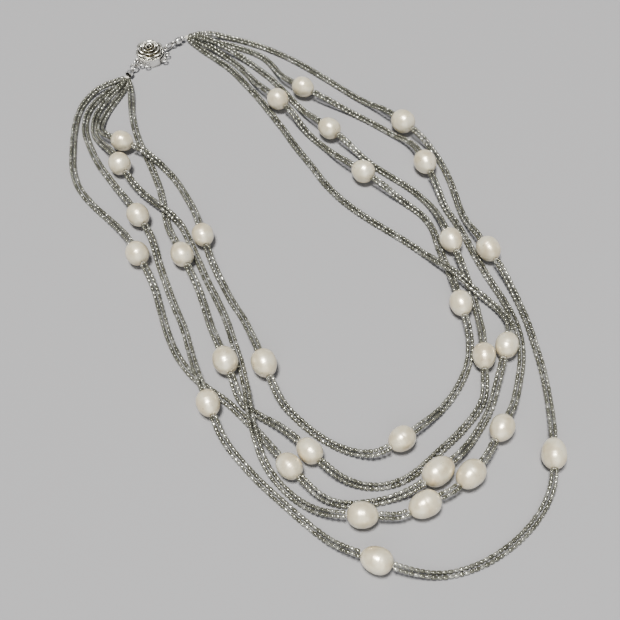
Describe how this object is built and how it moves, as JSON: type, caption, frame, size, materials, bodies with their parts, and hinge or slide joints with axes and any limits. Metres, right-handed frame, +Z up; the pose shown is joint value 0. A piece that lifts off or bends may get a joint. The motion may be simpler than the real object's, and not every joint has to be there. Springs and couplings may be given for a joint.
{
  "type": "pearl necklace",
  "caption": "Pearl necklace of several seed-bead strands with drilled oval pearls, joined at a round silver box clasp with a rose lid, lying closed on a flat surface.",
  "frame": {"origin": "on the surface the necklace lies on, under the middle of its bounding box", "axes": "+Z up; +Y from the front of the loop to the clasp; +X to the right, from the box side of the clasp to its tongue side"},
  "size_m": [0.1149, 0.2226, 0.008],
  "materials": {
    "pearl": "ivory nacre, satin",
    "seed_beads": "translucent grey-green glass, glossy",
    "thread": "waxed thread",
    "silver": "lightly tarnished silver"
  },
  "bodies": {
    "left_half": {"clasp_box": "silver", "clasp_lid": "silver", "rose_dome": "silver", "box_loops": "silver", "bead_tip_left": "silver", "crimp_left": "silver", "threads_left": "thread", "strand_a_left": "seed_beads", "strand_b_left": "seed_beads", "strand_c_left": "seed_beads", "strand_d_left": "seed_beads", "strand_e_left": "seed_beads"},
    "right_half": {"tongue": "silver", "tongue_loops": "silver", "bead_tip_right": "silver", "crimp_right": "silver", "silver_ball": "silver", "threads_right": "thread", "strand_a_right": "seed_beads", "strand_b_right": "seed_beads", "strand_c_right": "seed_beads", "strand_d_right": "seed_beads", "strand_e_right": "seed_beads"},
    "tongue_leaf": {"tongue_spring": "silver"},
    "standing_ring": {"jump_ring_standing": "silver"},
    "flat_ring": {"jump_ring_flat": "silver"},
    "oval_ring": {"oval_ring": "silver"},
    "pearl_01": {"pearl_01": "pearl"},
    "pearl_02": {"pearl_02": "pearl"},
    "pearl_03": {"pearl_03": "pearl"},
    "pearl_04": {"pearl_04": "pearl"},
    "pearl_05": {"pearl_05": "pearl"},
    "pearl_06": {"pearl_06": "pearl"},
    "pearl_07": {"pearl_07": "pearl"},
    "pearl_08": {"pearl_08": "pearl"},
    "pearl_09": {"pearl_09": "pearl"},
    "pearl_10": {"pearl_10": "pearl"},
    "pearl_11": {"pearl_11": "pearl"},
    "pearl_12": {"pearl_12": "pearl"},
    "pearl_13": {"pearl_13": "pearl"},
    "pearl_14": {"pearl_14": "pearl"},
    "pearl_15": {"pearl_15": "pearl"},
    "pearl_16": {"pearl_16": "pearl"},
    "pearl_17": {"pearl_17": "pearl"},
    "pearl_18": {"pearl_18": "pearl"},
    "pearl_19": {"pearl_19": "pearl"},
    "pearl_20": {"pearl_20": "pearl"},
    "pearl_21": {"pearl_21": "pearl"},
    "pearl_22": {"pearl_22": "pearl"},
    "pearl_23": {"pearl_23": "pearl"},
    "pearl_24": {"pearl_24": "pearl"},
    "pearl_25": {"pearl_25": "pearl"},
    "pearl_26": {"pearl_26": "pearl"},
    "pearl_27": {"pearl_27": "pearl"},
    "pearl_28": {"pearl_28": "pearl"},
    "pearl_29": {"pearl_29": "pearl"},
    "pearl_30": {"pearl_30": "pearl"}
  },
  "joints": [
    {"name": "necklace_open", "type": "hinge", "parent": "left_half", "child": "right_half", "pos_m": [0.0061, -0.087, 0.002], "axis": [0, 0, 1], "range_deg": [-3.2, 0], "deforming": ["strand_a_left", "strand_b_left", "strand_c_left", "strand_d_left", "strand_e_left", "strand_a_right", "strand_b_right", "strand_c_right", "strand_d_right", "strand_e_right"]},
    {"name": "tongue_release", "type": "hinge", "parent": "right_half", "child": "tongue_leaf", "pos_m": [-0.01, 0.1063, 0.00087], "axis": [0, -1, 0], "range_deg": [0, 2]},
    {"name": "standing_ring_turn", "type": "hinge", "parent": "left_half", "child": "standing_ring", "pos_m": [-0.01384, 0.10489, 0.00175], "axis": [0.7314, -0.682, 0], "continuous": true},
    {"name": "flat_ring_turn", "type": "hinge", "parent": "left_half", "child": "flat_ring", "pos_m": [-0.01508, 0.10356, 0.00175], "axis": [0, 0, 1], "continuous": true},
    {"name": "oval_ring_turn", "type": "hinge", "parent": "right_half", "child": "oval_ring", "pos_m": [0.00059, 0.10697, 0.00175], "axis": [0.9703, 0.2419, 0], "range_deg": [-4, 4]},
    {"name": "pearl_01_turn", "type": "hinge", "parent": "left_half", "child": "pearl_01", "pos_m": [-0.0341, 0.0708, 0.0036], "axis": [0.5744, -0.8186, 0], "continuous": true},
    {"name": "pearl_02_turn", "type": "hinge", "parent": "left_half", "child": "pearl_02", "pos_m": [-0.039, 0.062, 0.0037], "axis": [0.0286, -0.9996, 0], "continuous": true},
    {"name": "pearl_03_turn", "type": "hinge", "parent": "left_half", "child": "pearl_03", "pos_m": [-0.0428, 0.0389, 0.0036], "axis": [0.0571, -0.9984, 0], "continuous": true},
    {"name": "pearl_04_turn", "type": "hinge", "parent": "left_half", "child": "pearl_04", "pos_m": [-0.0283, 0.0212, 0.0035], "axis": [-0.2154, -0.9765, 0], "continuous": true},
    {"name": "pearl_05_turn", "type": "hinge", "parent": "left_half", "child": "pearl_05", "pos_m": [-0.0494, 0.0251, 0.0037], "axis": [0, -1, 0], "continuous": true},
    {"name": "pearl_06_turn", "type": "hinge", "parent": "left_half", "child": "pearl_06", "pos_m": [-0.0374, 0.0177, 0.0037], "axis": [-0.0854, -0.9963, 0], "continuous": true},
    {"name": "pearl_07_turn", "type": "hinge", "parent": "left_half", "child": "pearl_07", "pos_m": [-0.0433, -0.0232, 0.0038], "axis": [-0.1434, -0.9897, 0], "continuous": true},
    {"name": "pearl_08_turn", "type": "hinge", "parent": "left_half", "child": "pearl_08", "pos_m": [-0.0339, -0.0298, 0.0038], "axis": [-0.1574, -0.9875, 0], "continuous": true},
    {"name": "pearl_09_turn", "type": "hinge", "parent": "left_half", "child": "pearl_09", "pos_m": [-0.0539, -0.0332, 0.0035], "axis": [-0.1574, -0.9875, 0], "continuous": true},
    {"name": "pearl_10_turn", "type": "hinge", "parent": "left_half", "child": "pearl_10", "pos_m": [-0.0363, -0.0603, 0.0034], "axis": [0.2425, -0.9701, 0], "continuous": true},
    {"name": "pearl_11_turn", "type": "hinge", "parent": "left_half", "child": "pearl_11", "pos_m": [-0.0434, -0.0615, 0.0034], "axis": [0.2154, -0.9765, 0], "continuous": true},
    {"name": "pearl_12_turn", "type": "hinge", "parent": "left_half", "child": "pearl_12", "pos_m": [-0.0334, -0.0837, 0.0037], "axis": [0.8545, -0.5194, 0], "continuous": true},
    {"name": "pearl_13_turn", "type": "hinge", "parent": "left_half", "child": "pearl_13", "pos_m": [-0.0367, -0.0959, 0.0037], "axis": [0.6402, -0.7682, 0], "continuous": true},
    {"name": "pearl_14_turn", "type": "hinge", "parent": "left_half", "child": "pearl_14", "pos_m": [-0.0123, -0.0702, 0.0036], "axis": [0.9916, 0.1293, 0], "continuous": true},
    {"name": "pearl_15_turn", "type": "hinge", "parent": "left_half", "child": "pearl_15", "pos_m": [-0.009, -0.0834, 0.0038], "axis": [0.9897, 0.1434, 0], "continuous": true},
    {"name": "pearl_16_turn", "type": "hinge", "parent": "left_half", "child": "pearl_16", "pos_m": [-0.0018, -0.0885, 0.0037], "axis": [0.9681, 0.2504, 0], "continuous": true},
    {"name": "pearl_17_turn", "type": "hinge", "parent": "left_half", "child": "pearl_17", "pos_m": [-0.0175, -0.0895, 0.0037], "axis": [0.9988, -0.0499, 0], "continuous": true},
    {"name": "pearl_18_turn", "type": "hinge", "parent": "right_half", "child": "pearl_18", "pos_m": [0.0138, -0.0814, 0.0036], "axis": [0.8734, 0.4871, 0], "continuous": true},
    {"name": "pearl_19_turn", "type": "hinge", "parent": "right_half", "child": "pearl_19", "pos_m": [0.0217, -0.0948, 0.0036], "axis": [0.5839, 0.8118, 0], "continuous": true},
    {"name": "pearl_20_turn", "type": "hinge", "parent": "right_half", "child": "pearl_20", "pos_m": [0.0231, -0.0598, 0.0035], "axis": [0.5415, 0.8407, 0], "continuous": true},
    {"name": "pearl_21_turn", "type": "hinge", "parent": "right_half", "child": "pearl_21", "pos_m": [0.0311, -0.0601, 0.0035], "axis": [0.7419, 0.6705, 0], "continuous": true},
    {"name": "pearl_22_turn", "type": "hinge", "parent": "right_half", "child": "pearl_22", "pos_m": [0.0279, -0.0411, 0.0035], "axis": [0.3291, 0.9443, 0], "continuous": true},
    {"name": "pearl_23_turn", "type": "hinge", "parent": "right_half", "child": "pearl_23", "pos_m": [0.047, -0.0287, 0.0037], "axis": [0.0712, 0.9975, 0], "continuous": true},
    {"name": "pearl_24_turn", "type": "hinge", "parent": "right_half", "child": "pearl_24", "pos_m": [0.0388, -0.0199, 0.0036], "axis": [0.229, 0.9734, 0], "continuous": true},
    {"name": "pearl_25_turn", "type": "hinge", "parent": "right_half", "child": "pearl_25", "pos_m": [0.0497, 0.0113, 0.0038], "axis": [0.1852, 0.9827, 0], "continuous": true},
    {"name": "pearl_26_turn", "type": "hinge", "parent": "right_half", "child": "pearl_26", "pos_m": [0.0533, 0.0305, 0.004], "axis": [-0.2425, 0.9701, 0], "continuous": true},
    {"name": "pearl_27_turn", "type": "hinge", "parent": "right_half", "child": "pearl_27", "pos_m": [0.0296, 0.0183, 0.0038], "axis": [-0.3417, 0.9398, 0], "continuous": true},
    {"name": "pearl_28_turn", "type": "hinge", "parent": "right_half", "child": "pearl_28", "pos_m": [0.0298, 0.0407, 0.0037], "axis": [-0.2728, 0.9621, 0], "continuous": true},
    {"name": "pearl_29_turn", "type": "hinge", "parent": "right_half", "child": "pearl_29", "pos_m": [0.0212, 0.0614, 0.0038], "axis": [-0.2154, 0.9765, 0], "continuous": true},
    {"name": "pearl_30_turn", "type": "hinge", "parent": "right_half", "child": "pearl_30", "pos_m": [0.0319, 0.0623, 0.0036], "axis": [-0.4415, 0.8973, 0], "continuous": true}
  ]
}
